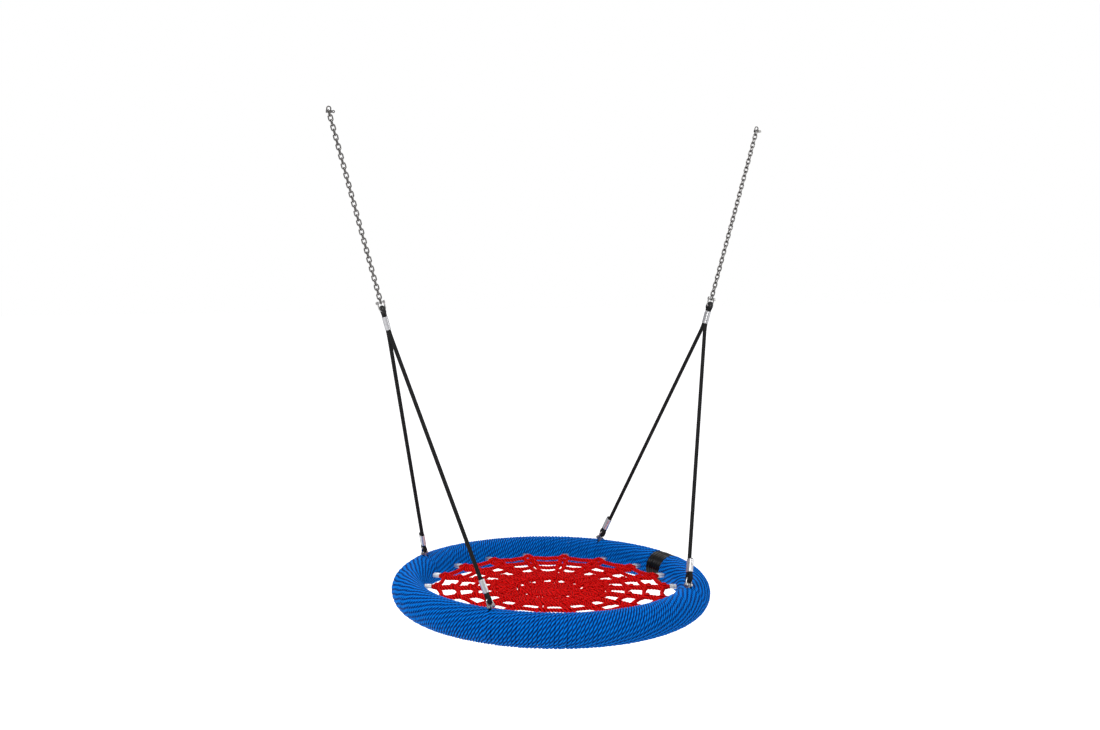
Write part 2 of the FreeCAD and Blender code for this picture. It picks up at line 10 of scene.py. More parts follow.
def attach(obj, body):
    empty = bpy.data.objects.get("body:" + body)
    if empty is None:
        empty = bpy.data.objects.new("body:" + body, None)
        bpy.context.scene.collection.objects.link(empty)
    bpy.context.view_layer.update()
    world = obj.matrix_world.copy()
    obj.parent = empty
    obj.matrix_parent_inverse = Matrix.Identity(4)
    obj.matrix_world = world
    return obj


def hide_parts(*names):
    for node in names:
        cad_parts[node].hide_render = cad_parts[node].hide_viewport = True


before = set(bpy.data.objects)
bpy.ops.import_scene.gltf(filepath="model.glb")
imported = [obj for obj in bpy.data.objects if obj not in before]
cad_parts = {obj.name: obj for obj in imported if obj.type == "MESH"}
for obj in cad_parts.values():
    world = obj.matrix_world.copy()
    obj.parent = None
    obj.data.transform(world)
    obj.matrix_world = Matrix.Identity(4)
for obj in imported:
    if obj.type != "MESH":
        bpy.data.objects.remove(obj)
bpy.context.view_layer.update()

TAU = 2 * math.pi
MM = 0.001

# ---------------------------------------------------------------- driving sizes

# as in the part
RING_RADIUS = 0.540
RING_HEIGHT = 0.060
RIM_RADIUS = 0.060
LEAN = math.radians(15.5)
LUG_ANGLE = math.radians(45)
EYE_PIN_HEIGHT = 0.130
APEX_DISTANCE = 1.024
EYE_REACH = 0.027
ROPE_RADIUS = 0.006
STRAND_GAP = 0.0063
GROOVE = 0.013
EYE_NECK = 0.016
FERRULE_START = 0.0205
FERRULE_LENGTH = 0.048
FORK_DISTANCE = 0.008
TAIL_BEYOND = 0.003
SPOKES = 18
STRAND_OFFSET = 0.0075

# the net as the photo shows it: thicker rope than in the part, narrow in the clips, and each row's foot
NET_RADIUS = 0.0080
CLIP_BORE = 0.0062
FEET = [0.424, 0.356, 0.289, 0.218]

rng = np.random.default_rng(7)


# ---------------------------------------------------------------- mesh building

class Shape:
    """Collects closed surfaces made of rings of points, then becomes one object."""

    def __init__(self):
        self.points = []
        self.quads = []
        self.quad_uv = []
        self.tris = []
        self.tri_uv = []
        self.crests = []
        self.count = 0

    def grid(self, rings, lengths, closed, crest=None):
        """rings: (N, M, 3) points, each ring closed; lengths: distance along the path of each ring;
        crest: 1 where a point faces out of its bed, 0 where it lies deep in it, the mask of the painted shade
        there."""
        n, m = rings.shape[:2]
        base = self.count
        self.points.append(rings.reshape(-1, 3))
        self.crests.append(np.ones(n * m) if crest is None else crest.ravel())
        self.count += n * m
        rows = np.arange(n if closed else n - 1)
        i, j = np.meshgrid(rows, np.arange(m), indexing="ij")
        i2 = (i + 1) % n
        j2 = (j + 1) % m
        corners = np.stack([i * m + j, i * m + j2, i2 * m + j2, i2 * m + j], -1)
        self.quads.append((base + corners).reshape(-1, 4))
        step = lengths[1] - lengths[0]
        v1 = lengths[i]
        v2 = np.where(i + 1 < n, lengths[i2], lengths[i] + step)
        u1, u2 = j / m, (j + 1) / m
        uv = np.stack([np.stack([u1, v1], -1), np.stack([u2, v1], -1),
                       np.stack([u2, v2], -1), np.stack([u1, v2], -1)], -2)
        self.quad_uv.append(uv.reshape(-1, 4, 2))
        if not closed:
            for row, order in ((0, -1), (n - 1, 1)):
                centre = rings[row].mean(0)
                self.points.append(centre[None])
                self.crests.append(np.ones(1))
                ring = base + row * m + np.arange(m)
                other = base + row * m + (np.arange(m) + 1) % m
                pair = (ring, other) if order > 0 else (other, ring)
                self.tris.append(np.stack([*pair, np.full(m, self.count)], -1))
                u = np.stack([np.arange(m) / m, np.arange(1, m + 1) / m, np.full(m, 0.5)], -1)
                self.tri_uv.append(np.stack([u, np.full((m, 3), lengths[row])], -1))
                self.count += 1

    def object(self, name, material):
        mesh = bpy.data.meshes.new(name)
        points = np.concatenate(self.points)
        quads = np.concatenate(self.quads)
        tris = np.concatenate(self.tris) if self.tris else np.zeros((0, 3), int)
        mesh.vertices.add(len(points))
        mesh.vertices.foreach_set("co", points.astype(np.float32).ravel())
        corners = np.concatenate([quads.ravel(), tris.ravel()]).astype(np.int32)
        mesh.loops.add(len(corners))
        mesh.loops.foreach_set("vertex_index", corners)
        starts = np.concatenate([np.arange(len(quads)) * 4, 4 * len(quads) + np.arange(len(tris)) * 3])
        mesh.polygons.add(len(starts))
        mesh.polygons.foreach_set("loop_start", starts.astype(np.int32))
        mesh.polygons.foreach_set("use_smooth", np.ones(len(starts), bool))
        uv = [np.concatenate(self.quad_uv).reshape(-1, 2)]
        if self.tri_uv:
            uv.append(np.concatenate(self.tri_uv).reshape(-1, 2))
        layer = mesh.uv_layers.new(name="strand")
        mesh.update(calc_edges=True)
        layer.data.foreach_set("uv", np.concatenate(uv).astype(np.float32).ravel())
        crest = mesh.attributes.new("crest", "FLOAT", "POINT")
        crest.data.foreach_set("value", np.concatenate(self.crests).astype(np.float32))
        mesh.validate()
        mesh.materials.append(material)
        obj = bpy.data.objects.new(name, mesh)
        bpy.context.scene.collection.objects.link(obj)
        return obj


def unit(v):
    return v / np.linalg.norm(v, axis=-1, keepdims=True)


def along(points, closed=False):
    """Distance along a path at each of its points, and its whole length."""
    ends = np.roll(points, -1, 0) if closed else points[1:]
    starts = points if closed else points[:-1]
    steps = np.linalg.norm(ends - starts, axis=1)
    total = steps.sum()
    lengths = np.concatenate([[0], np.cumsum(steps)])
    return lengths[:len(points)], total


def respaced(points, step, closed=False):
    """The same path with evenly spaced points."""
    lengths, total = along(points, closed)
    if closed:
        points = np.vstack([points, points[:1]])
        lengths = np.append(lengths, total)
    count = max(int(round(total / step)), 8)
    at = np.linspace(0, total, count, endpoint=not closed)
    return np.stack([np.interp(at, lengths, points[:, k]) for k in range(3)], -1)


def spline(points, closed=False, resolution=12):
    """Points read from a smooth NURBS spline over these control points."""
    curve = bpy.data.curves.new("route", "CURVE")
    curve.dimensions = "3D"
    curve.resolution_u = resolution
    line = curve.splines.new("NURBS")
    line.points.add(len(points) - 1)
    for p, co in zip(line.points, points):
        p.co = (*co, 1)
    line.order_u = 3
    line.use_endpoint_u = not closed
    line.use_cyclic_u = closed
    holder = bpy.data.objects.new("route", curve)
    bpy.context.scene.collection.objects.link(holder)
    bpy.context.view_layer.update()
    mesh = bpy.data.meshes.new_from_object(holder.evaluated_get(bpy.context.evaluated_depsgraph_get()))
    found = np.array([v.co for v in mesh.vertices], float)
    bpy.data.objects.remove(holder)
    bpy.data.curves.remove(curve)
    bpy.data.meshes.remove(mesh)
    return found


def carried_frames(points, closed):
    """Tangents, and normals carried along the path without twist."""
    if closed:
        tangents = unit(np.roll(points, -1, 0) - np.roll(points, 1, 0))
    else:
        tangents = unit(np.gradient(points, axis=0))
    seed = np.array([0.0, 0.0, 1.0]) if abs(tangents[0][2]) < 0.8 else np.array([1.0, 0.0, 0.0])
    normal = unit(seed - tangents[0] * (seed @ tangents[0]))
    normals = [normal]
    for t in tangents[1:]:
        normal = unit(normal - t * (normal @ t))
        normals.append(normal)
    normals = np.array(normals)
    if closed:
        last = unit(normals[-1] - tangents[0] * (normals[-1] @ tangents[0]))
        side = np.cross(tangents[0], last)
        miss = math.atan2(normals[0] @ side, normals[0] @ last)
        turn = (miss * np.arange(len(points)) / len(points))[:, None]
        sides = np.cross(tangents, normals)
        normals = normals * np.cos(turn) + sides * np.sin(turn)
    return tangents, normals


def strand_outline(strands, per_strand, bulge):
    """Section of a laid rope: round strands side by side, on a unit radius."""
    angles = np.arange(strands * per_strand) * TAU / (strands * per_strand)
    half = math.pi / strands
    local = (angles + half) % (2 * half) - half
    middle = 1 - bulge
    reach = middle * np.cos(local) + np.sqrt(bulge ** 2 - (middle * np.sin(local)) ** 2)
    return angles, reach


def laid_rope(shape, points, radius, lay, strands=3, per_strand=4, bulge=0.6, closed=False,
              normals=None, wide=None, high=None, start=0.0, painted_bed_shade=False):
    """A rope of twisted strands along a path.  wide and high scale the section beside and along normals."""
    if normals is None:
        tangents, normals = carried_frames(points, closed)
    else:
        tangents = unit(np.gradient(points, axis=0))
        normals = unit(normals - tangents * (normals * tangents).sum(1, keepdims=True))
    sides = np.cross(tangents, normals)
    lengths, total = along(points, closed)
    if closed:
        lay = total / (max(round(total / lay * strands), 1) / strands)
    angles, reach = strand_outline(strands, per_strand, bulge)
    turn = angles[None, :] + (TAU * (start + lengths) / lay)[:, None]
    high = 1.0 if high is None else high[:, None]
    wide = 1.0 if wide is None else wide[:, None]
    x = radius * reach * np.cos(turn) * high
    y = radius * reach * np.sin(turn) * wide
    rings = points[:, None] + normals[:, None] * x[..., None] + sides[:, None] * y[..., None]
    # Where the rope lies in a bed, each point carries how far it faces out of it: the mask of the painted
    # shade between the turns.
    shape.grid(rings, lengths + start, closed, (0.5 + 0.5 * x / radius) if painted_bed_shade else None)


def braided_rope(shape, points, radius, bumps, pick, groove, around=32):
    """A braided rope: rounded diamonds with shallow grooves between them."""
    tangents, normals = carried_frames(points, False)
    sides = np.cross(tangents, normals)
    lengths, _ = along(points)
    angle = np.arange(around) * TAU / around
    p = 0.5 * bumps * angle[None, :] + math.pi * lengths[:, None] / pick
    q = 0.5 * bumps * angle[None, :] - math.pi * lengths[:, None] / pick
    height = np.sqrt(np.abs(np.sin(p) * np.sin(q)))
    reach = radius * (1 + groove * (height - 0.7))
    rings = (points[:, None] + normals[:, None] * (reach * np.cos(angle))[..., None]
             + sides[:, None] * (reach * np.sin(angle))[..., None])
    shape.grid(rings, lengths, False)


def sleeve(shape, origin, axis, wide_axis, length, half_wide, half_high, wall, waist, crimps, depth):
    """A pressed metal sleeve: oval outside and inside, with a waist between its two strands."""
    axis, wide_axis = np.array(axis, float), np.array(wide_axis, float)
    high_axis = np.cross(axis, wide_axis)
    angles = np.arange(48) * TAU / 48
    power = 2 / 2.6

    def oval(a, b):
        x = a * np.sign(np.cos(angles)) * np.abs(np.cos(angles)) ** power
        y = b * np.sign(np.sin(angles)) * np.abs(np.sin(angles)) ** power
        return x, y * (1 - waist * np.exp(-(x / (0.28 * a)) ** 2))

    rings = []
    lengths = []
    edge = 1.2 * MM
    stations = np.concatenate([[0, 0.25 * edge, edge], np.linspace(edge, length - edge, 40)[1:-1],
                               [length - edge, length - 0.25 * edge, length]])
    for t in stations:
        end = min(t, length - t)
        chamfer = 0.7 * MM * max(0.0, 1 - end / edge) ** 2
        press = sum(math.exp(-((t - c * length) / (1.6 * MM)) ** 2) for c in crimps) * depth
        x, y = oval(half_wide - chamfer - press, half_high - chamfer - press)
        rings.append(np.array(origin) + axis * t + np.outer(x, wide_axis) + np.outer(y, high_axis))
        lengths.append(t)
    for t in (length - 0.2 * MM, 0.5 * length, 0.2 * MM):
        x, y = oval(half_wide - wall, half_high - wall)
        rings.append(np.array(origin) + axis * t + np.outer(x, wide_axis) + np.outer(y, high_axis))
        lengths.append(2 * length - t)
    shape.grid(np.array(rings), np.array(lengths), True)


# ---------------------------------------------------------------- materials

class Finish:
    """A node material on one Principled shader."""

    def __init__(self, name, **constants):
        self.material = bpy.data.materials.new(name)
        self.material.use_nodes = True
        self.tree = self.material.node_tree
        self.shader = self.tree.nodes["Principled BSDF"]
        for key, value in constants.items():
            self.shader.inputs[key.replace("_", " ")].default_value = value

    def add(self, kind, inputs=None, **settings):
        node = self.tree.nodes.new("ShaderNode" + kind)
        for key, value in settings.items():
            setattr(node, key, value)
        for key, value in (inputs or {}).items():
            if isinstance(value, bpy.types.NodeSocket):
                self.tree.links.new(value, node.inputs[key])
            else:
                node.inputs[key].default_value = value
        return node

    def math(self, operation, a, b=0.0):
        return self.add("Math", {0: a, 1: b}, operation=operation).outputs[0]

    def ramp(self, factor, *stops):
        node = self.add("ValToRGB", {"Fac": factor})
        ramp = node.color_ramp
        ramp.elements[0].position, ramp.elements[0].color = stops[0][0], (*stops[0][1], 1)
        ramp.elements[1].position, ramp.elements[1].color = stops[-1][0], (*stops[-1][1], 1)
        for place, colour in stops[1:-1]:
            ramp.elements.new(place).color = (*colour, 1)
        return node.outputs["Color"]

    def set(self, name, socket):
        self.tree.links.new(socket, self.shader.inputs[name])

    def bump(self, height, strength, distance):
        node = self.add("Bump", {"Height": height, "Strength": strength, "Distance": distance})
        self.set("Normal", node.outputs["Normal"])


# Each rope finish adds up a tone from these parts, and a ramp turns it into colour.
FIBRES_ROUND = 26.0
FIBRES_ALONG = 70.0
FIBRE_TONE = 0.55
PATCH_TONE = 0.4
PATCH_SCALE = 38.0
TONE_SCALE = 0.7


def rope_finish(name, deep, middle, bright, strands, roughness, gloss, contrast=0.62,
                stops=(0.15, 0.43, 0.70), painted_bed_shade=0.0):
    """Laid or braided synthetic rope: painted shade in the grooves, painted highlights on the crowns and fine
    filaments along the strands.  The last argument sets how much painted shade darkens the rope where it lies
    deep between its neighbours."""
    f = Finish(name, Specular_IOR_Level=gloss)
    uv = f.add("UVMap", uv_map="strand").outputs["UV"]
    parts = f.add("SeparateXYZ", {0: uv})
    across, length = parts.outputs[0], parts.outputs[1]
    # Painted shade in the grooves between the strands and a painted highlight on their crowns.
    wave = f.math("COSINE", f.math("MULTIPLY", across, TAU * strands))
    painted_strand_shading = f.math("MULTIPLY_ADD", wave, 0.5)
    painted_strand_shading.node.inputs[2].default_value = 0.5
    place = f.add("CombineXYZ", {0: f.math("MULTIPLY", across, FIBRES_ROUND),
                                 1: f.math("MULTIPLY", length, FIBRES_ALONG)}).outputs[0]
    filaments = f.add("TexNoise", {"Vector": place, "Scale": 1.0, "Detail": 3.0,
                                   "Roughness": 0.6}).outputs["Fac"]
    spot = f.add("TexCoord").outputs["Object"]
    patches = f.add("TexNoise", {"Vector": spot, "Scale": PATCH_SCALE, "Detail": 4.0}).outputs["Fac"]
    tone = f.math("MULTIPLY", painted_strand_shading, contrast)
    tone = f.math("ADD", tone, f.math("MULTIPLY", filaments, FIBRE_TONE))
    tone = f.math("ADD", tone, f.math("MULTIPLY", patches, PATCH_TONE))
    # Painted shade, darker where the rope lies deep between its neighbours.
    if painted_bed_shade:
        crest = f.add("Attribute", attribute_name="crest").outputs["Fac"]
        shade_in_bed = f.add("MapRange", {"Value": crest, "From Min": 0.3, "From Max": 0.75, "To Min": painted_bed_shade})
        shade_in_bed.inputs["To Max"].default_value = 0.0
        tone = f.math("SUBTRACT", tone, shade_in_bed.outputs[0])
    tone = f.math("MULTIPLY", tone, TONE_SCALE)
    # The ramp runs from the painted groove shade to the painted crown highlight, spread further by fibres and
    # patches.
    f.set("Base Color", f.ramp(tone, *zip(stops, (deep, middle, bright))))
    rough = f.add("MapRange", {"Value": filaments, "To Min": roughness - 0.1, "To Max": roughness + 0.15})
    f.set("Roughness", rough.outputs[0])
    f.bump(filaments, 0.5, 0.35 * MM)
    return f.material


def metal_finish(name, colour, roughness, grain=180.0, wear=0.08):
    """Metal with a fine grain and broad, slightly darker patches."""
    f = Finish(name, Metallic=1.0)
    spot = f.add("TexCoord").outputs["Object"]
    fine = f.add("TexNoise", {"Vector": spot, "Scale": grain, "Detail": 4.0}).outputs["Fac"]
    broad = f.add("TexNoise", {"Vector": spot, "Scale": 35.0, "Detail": 3.0}).outputs["Fac"]
    dark = tuple(c * (1 - 3 * wear) for c in colour)
    f.set("Base Color", f.ramp(broad, (0.3, dark), (0.65, colour)))
    rough = f.add("MapRange", {"Value": fine, "To Min": roughness - 0.08, "To Max": roughness + 0.12})
    f.set("Roughness", rough.outputs[0])
    f.bump(fine, 0.12, 0.1 * MM)
    return f.material


def plastic_finish(name, colour, roughness, grain=120.0, gloss=0.5):
    """Plastic, tape or foam with a fine grain."""
    f = Finish(name, Specular_IOR_Level=gloss)
    spot = f.add("TexCoord").outputs["Object"]
    fine = f.add("TexNoise", {"Vector": spot, "Scale": grain, "Detail": 5.0}).outputs["Fac"]
    light = tuple(min(1.0, c * 2.0 + 0.002) for c in colour)
    f.set("Base Color", f.ramp(fine, (0.3, colour), (0.75, light)))
    rough = f.add("MapRange", {"Value": fine, "To Min": roughness - 0.07, "To Max": roughness + 0.1})
    f.set("Roughness", rough.outputs[0])
    f.bump(fine, 0.2, 0.15 * MM)
    return f.material


# In each rope the first colour stands for painted shade in the grooves, the last for a painted highlight on
# the crowns.
BLUE = rope_finish("blue_rope_finish", (0.0, 0.024, 0.135), (0.0, 0.082, 0.39), (0.0, 0.235, 0.90),
                   strands=3, roughness=0.40, gloss=0.04, contrast=1.15,
                   stops=(0.35, 0.70, 0.96), painted_bed_shade=0.30)
RED = rope_finish("red_rope_finish", (0.045, 0.0, 0.0), (0.46, 0.0, 0.0), (0.92, 0.008, 0.008),
                  strands=3, roughness=0.5, gloss=0.02, contrast=0.8, stops=(0.23, 0.56, 0.70))
BLACK = rope_finish("black_rope_finish", (0.002, 0.002, 0.002), (0.006, 0.006, 0.006), (0.022, 0.022, 0.022),
                    strands=8, roughness=0.5, gloss=0.12)
LASHING = plastic_finish("black_lashing_finish", (0.0006, 0.0006, 0.0006), 0.12, 30.0, gloss=0.22)
# One stainless steel in two copies: a darker one with painted shade for the chain and top shackle, a lighter
# one with painted light for the rim shackles.
SHADED_STEEL = metal_finish("shaded_stainless_copy", (0.26, 0.25, 0.24), 0.17)
LIT_STEEL = metal_finish("lit_stainless_copy", (0.66, 0.65, 0.63), 0.16)
GALVANISED = metal_finish("galvanised_finish", (0.55, 0.56, 0.57), 0.42, 60.0, 0.12)
ALUMINIUM = metal_finish("aluminium_finish", (0.84, 0.84, 0.85), 0.34, 260.0, 0.04)
CLIP = metal_finish("clip_finish", (0.84, 0.84, 0.83), 0.34, 200.0, 0.07)
BLACK_PLASTIC = plastic_finish("black_plastic_finish", (0.004, 0.004, 0.004), 0.38)
FOAM = plastic_finish("foam_finish", (0.02, 0.022, 0.026), 0.85, 300.0)


# ---------------------------------------------------------------- camera and light

CAMERA_PLACE = Vector((-1.8631, -4.4083, 1.4243))
CAMERA_YAW = math.radians(22.733)
CAMERA_PITCH = math.radians(-6.182)
CAMERA_ROLL = math.radians(0.759)
CAMERA_LENS = 42.24


def camera():
    """The camera that was fitted to the ring, the clips and the hanging points of the photo."""
    forward = Vector((math.sin(CAMERA_YAW) * math.cos(CAMERA_PITCH),
                      math.cos(CAMERA_YAW) * math.cos(CAMERA_PITCH), math.sin(CAMERA_PITCH)))
    level = Vector((math.cos(CAMERA_YAW), -math.sin(CAMERA_YAW), 0))
    upright = level.cross(forward)
    right = level * math.cos(CAMERA_ROLL) + upright * math.sin(CAMERA_ROLL)
    up = upright * math.cos(CAMERA_ROLL) - level * math.sin(CAMERA_ROLL)
    data = bpy.data.cameras.new("camera")
    data.sensor_width = 36.0
    data.lens = CAMERA_LENS
    data.clip_end = 60
    cam = bpy.data.objects.new("camera", data)
    cam.matrix_world = Matrix((
        (right.x, up.x, -forward.x, CAMERA_PLACE.x),
        (right.y, up.y, -forward.y, CAMERA_PLACE.y),
        (right.z, up.z, -forward.z, CAMERA_PLACE.z),
        (0, 0, 0, 1)))
    bpy.context.scene.collection.objects.link(cam)
    bpy.context.scene.camera = cam


def area_light(name, place, target, size, power):
    data = bpy.data.lights.new(name, "AREA")
    data.shape = "DISK"
    data.size = size
    data.energy = power
    lamp = bpy.data.objects.new(name, data)
    lamp.location = place
    lamp.rotation_mode = "QUATERNION"
    lamp.rotation_quaternion = (Vector(target) - Vector(place)).to_track_quat("-Z", "Y")
    bpy.context.scene.collection.objects.link(lamp)


def studio():
    """A white backdrop for the camera, a soft grey sky for everything else, and three lamps."""
    world = bpy.data.worlds.new("studio")
    world.use_nodes = True
    tree = world.node_tree
    nodes, links = tree.nodes, tree.links
    out = nodes["World Output"]
    lit = nodes["Background"]
    place = nodes.new("ShaderNodeTexCoord")
    parts = nodes.new("ShaderNodeSeparateXYZ")
    links.new(place.outputs["Generated"], parts.inputs[0])
    ramp = nodes.new("ShaderNodeValToRGB")
    height = nodes.new("ShaderNodeMapRange")
    height.inputs["From Min"].default_value = -1.0
    links.new(parts.outputs[2], height.inputs["Value"])
    links.new(height.outputs[0], ramp.inputs["Fac"])
    stops = ramp.color_ramp
    stops.elements[0].position, stops.elements[0].color = 0.30, (0.20, 0.20, 0.21, 1)
    stops.elements[1].position, stops.elements[1].color = 0.85, (0.60, 0.60, 0.62, 1)
    stops.elements.new(0.52).color = (0.22, 0.22, 0.23, 1)
    links.new(ramp.outputs["Color"], lit.inputs["Color"])
    lit.inputs["Strength"].default_value = 1.0
    seen = nodes.new("ShaderNodeBackground")
    seen.inputs["Color"].default_value = (1, 1, 1, 1)
    seen.inputs["Strength"].default_value = 1.0
    ray = nodes.new("ShaderNodeLightPath")
    mix = nodes.new("ShaderNodeMixShader")
    links.new(ray.outputs["Is Camera Ray"], mix.inputs[0])
    links.new(lit.outputs[0], mix.inputs[1])
    links.new(seen.outputs[0], mix.inputs[2])
    links.new(mix.outputs[0], out.inputs["Surface"])
    bpy.context.scene.world = world
    area_light("key", (-3.6, -2.4, 3.9), target=(0, 0, 0.3), size=2.2, power=112)
    area_light("fill", (3.4, -2.6, 2.4), target=(0, 0, 0.4), size=2.6, power=36)
    area_light("back", (1.0, 4.0, 3.2), target=(0, 0, 0.4), size=2.4, power=36)
    bpy.context.scene.view_settings.view_transform = "Standard"


def floor():
    """A plain pale floor, which shines for the camera but hardly lights the object from below."""
    f = Finish("floor_finish", Roughness=0.9)
    f.shader.inputs["Emission Color"].default_value = (1, 1, 1, 1)
    seen = f.add("LightPath").outputs["Is Camera Ray"]
    glow = f.add("MapRange", {"Value": seen, "To Min": 0.12, "To Max": 0.75})
    f.set("Emission Strength", glow.outputs[0])
    spot = f.add("TexCoord").outputs["Object"]
    haze = f.add("TexNoise", {"Vector": spot, "Scale": 0.6}).outputs["Fac"]
    f.set("Base Color", f.ramp(haze, (0.2, (0.90, 0.90, 0.90)), (0.8, (0.93, 0.93, 0.93))))
    mesh = bpy.data.meshes.new("floor")
    size, low = 30.0, -1.0
    mesh.from_pydata([(-size, -size, low), (size, -size, low), (size, size, low), (-size, size, low)],
                     [], [(0, 1, 2, 3)])
    mesh.materials.append(f.material)
    obj = bpy.data.objects.new("floor", mesh)
    bpy.context.scene.collection.objects.link(obj)


camera()
studio()
floor()


def on_seat(obj, node):
    """The piece rides the seat and stands in for its CAD node."""
    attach(obj, "seat")
    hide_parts(node)


# ---------------------------------------------------------------- rope bridles

SIDES = {"left": -1, "right": 1}
ENDS = {"front": -1, "back": 1}
Y = Vector((0, 1, 0))
HALF_SPAN = RING_RADIUS * math.sin(LUG_ANGLE)


class Plane:
    """The leaning plane of one side's bridle and chain."""

    def __init__(self, side):
        self.up = Vector((side * math.sin(LEAN), 0, math.cos(LEAN)))
        self.foot = Vector((side * RING_RADIUS * math.cos(LUG_ANGLE), 0, EYE_PIN_HEIGHT))

    def point(self, across, up):
        return self.foot + Y * across + self.up * up


def eye_route(centre, across, out):
    """Control points of the rope round a thimble, between the necks of its two strands."""
    slant = math.asin(GROOVE / math.hypot(STRAND_GAP, EYE_NECK)) - math.atan2(STRAND_GAP, EYE_NECK)
    corners = 4
    step = (math.pi + 2 * slant) / corners
    corner_radius = GROOVE / math.cos(step / 2)
    points = [(STRAND_GAP, EYE_NECK)]
    for i in range(corners):
        turn = slant - step * (i + 0.5)
        points.append((corner_radius * math.cos(turn), corner_radius * math.sin(turn)))
    points.append((-STRAND_GAP, EYE_NECK))
    return [centre - across * u + out * v for u, v in points]


def bridle_route(plane):
    """Tail, front eye, leg, apex eye, leg, back eye, tail; and the three eyes' axes."""
    fork = APEX_DISTANCE - FERRULE_START - FERRULE_LENGTH - FORK_DISTANCE
    reach = HALF_SPAN - STRAND_GAP
    lean = math.acos(STRAND_GAP / math.hypot(reach, fork)) - math.atan2(fork, reach)
    tail = FERRULE_START + FERRULE_LENGTH + TAIL_BEYOND
    eyes = {}
    for end, sign in ENDS.items():
        out = Y * (-sign * math.sin(lean)) + plane.up * math.cos(lean)
        inward = Y * (-sign * math.cos(lean)) - plane.up * math.sin(lean)
        eyes[end] = (plane.point(sign * HALF_SPAN, 0) + out * EYE_REACH, inward, out)
    eyes["apex"] = (plane.point(0, APEX_DISTANCE), Y, plane.up * -1)
    halves = {}
    for end, sign in ENDS.items():
        centre, inward, out = eyes[end]
        half = eye_route(centre, inward, out)
        half.insert(0, centre - inward * STRAND_GAP + out * tail)
        corner = plane.point(sign * STRAND_GAP, fork)
        leg = (corner - half[-1]).normalized()
        half.append(half[-1] + leg * (12 * ROPE_RADIUS))
        half.append(corner - leg * (APEX_DISTANCE - EYE_NECK - fork))
        half.append(corner)
        halves[end] = half
    return halves["front"] + eye_route(*eyes["apex"]) + halves["back"][::-1], eyes


BRAID_RADIUS = 7.2 * MM
BRAID_BUMPS = 8
BRAID_PICK = 7.5 * MM
BRAID_GROOVE = 0.17
FERRULE_HALF_WIDE = 15.2 * MM
FERRULE_HALF_HIGH = 9.9 * MM
FERRULE_WALL = 2 * MM


def bridle(name, side):
    """One side's rope with its three pressed ferrules."""
    plane = Plane(side)
    route, eyes = bridle_route(plane)
    path = spline(route)
    shape = Shape()
    braided_rope(shape, respaced(path, 1.6 * MM), BRAID_RADIUS, BRAID_BUMPS, BRAID_PICK, BRAID_GROOVE)
    rope = shape.object("bridle_rope_" + name, BLACK)
    on_seat(rope, name + "_rope")
    for end, (centre, inward, out) in eyes.items():
        shape = Shape()
        sleeve(shape, centre + out * FERRULE_START, out, inward, FERRULE_LENGTH,
               FERRULE_HALF_WIDE, FERRULE_HALF_HIGH, FERRULE_WALL,
               waist=0.0, crimps=(0.2, 0.5, 0.8), depth=0.2 * MM)
        node = name + "_apex_ferrule" if end == "apex" else "%s_%s_ferrule" % (end, name)
        on_seat(shape.object("pressed_" + node, ALUMINIUM), node)


for name, side in SIDES.items():
    bridle(name, side)


# ---------------------------------------------------------------- rope winding of the ring

TURNS = 256
WINDING_RADIUS = 7 * MM
WINDING_LAY = 50 * MM
WINDING_PROUD = 2 * MM
SAMPLES_PER_TURN = 104
TURN_OVERLAP = 1.18
LIFT_WANDER = 0.3 * MM
SIDE_WANDER = 0.7 * MM
# how the turns part round each lug, at the top of the ring
LUG_PLACE = math.radians(91.5)
LUG_WINDOW = 0.34
LUG_FADE = 0.034
LUG_PUSH = 6.0 * MM
LUG_SQUEEZE = 0.16
HUMP_HEIGHT = 1.5 * MM
HUMP_LENGTH = 0.022
HUMP_WINDOW = 0.5
# the black lashing, and how it presses the turns in
LASHING_MIDDLE = math.radians(10)
LASHING_WIDTH = math.radians(10)
LASHING_TURNS = 6
LASHING_HALF_HEIGHT = 5.2 * MM
LASHING_PRESS = 6.6 * MM
LASHING_EDGE = 1.5 * MM
FAR_FROM_LASHING = 50.0


def rim_point(theta, psi, rho):
    """A point beside the ring's centreline: psi is 0 outwards, a quarter turn up, a half turn inwards."""
    r = RING_RADIUS + rho * np.cos(psi)
    return np.stack([r * np.cos(theta), r * np.sin(theta), RING_HEIGHT + rho * np.sin(psi)], -1)


def parted_at_lugs(start, psi, theta, rho):
    """Pushes theta aside and rho up where the turns pass the lugs at both ends of a quarter, and returns
    how narrow the turns get there."""
    squeeze = np.ones_like(rho)
    crossing = np.round((psi - LUG_PLACE) / TAU) * TAU + LUG_PLACE
    for lug in (start, start + math.pi / 2):
        away = (start + (crossing + math.pi / 2) / TURNS - lug) * RING_RADIUS
        window = np.exp(-((psi - crossing) / LUG_WINDOW) ** 4)
        fade = np.exp(-np.abs(away) / LUG_FADE)
        theta += np.sign(away) * LUG_PUSH * fade * window / RING_RADIUS
        squeeze -= LUG_SQUEEZE * fade * window
        hump = np.exp(-(away / HUMP_LENGTH) ** 2) * np.exp(-((psi - crossing) / HUMP_WINDOW) ** 2)
        rho += HUMP_HEIGHT * hump
    return squeeze


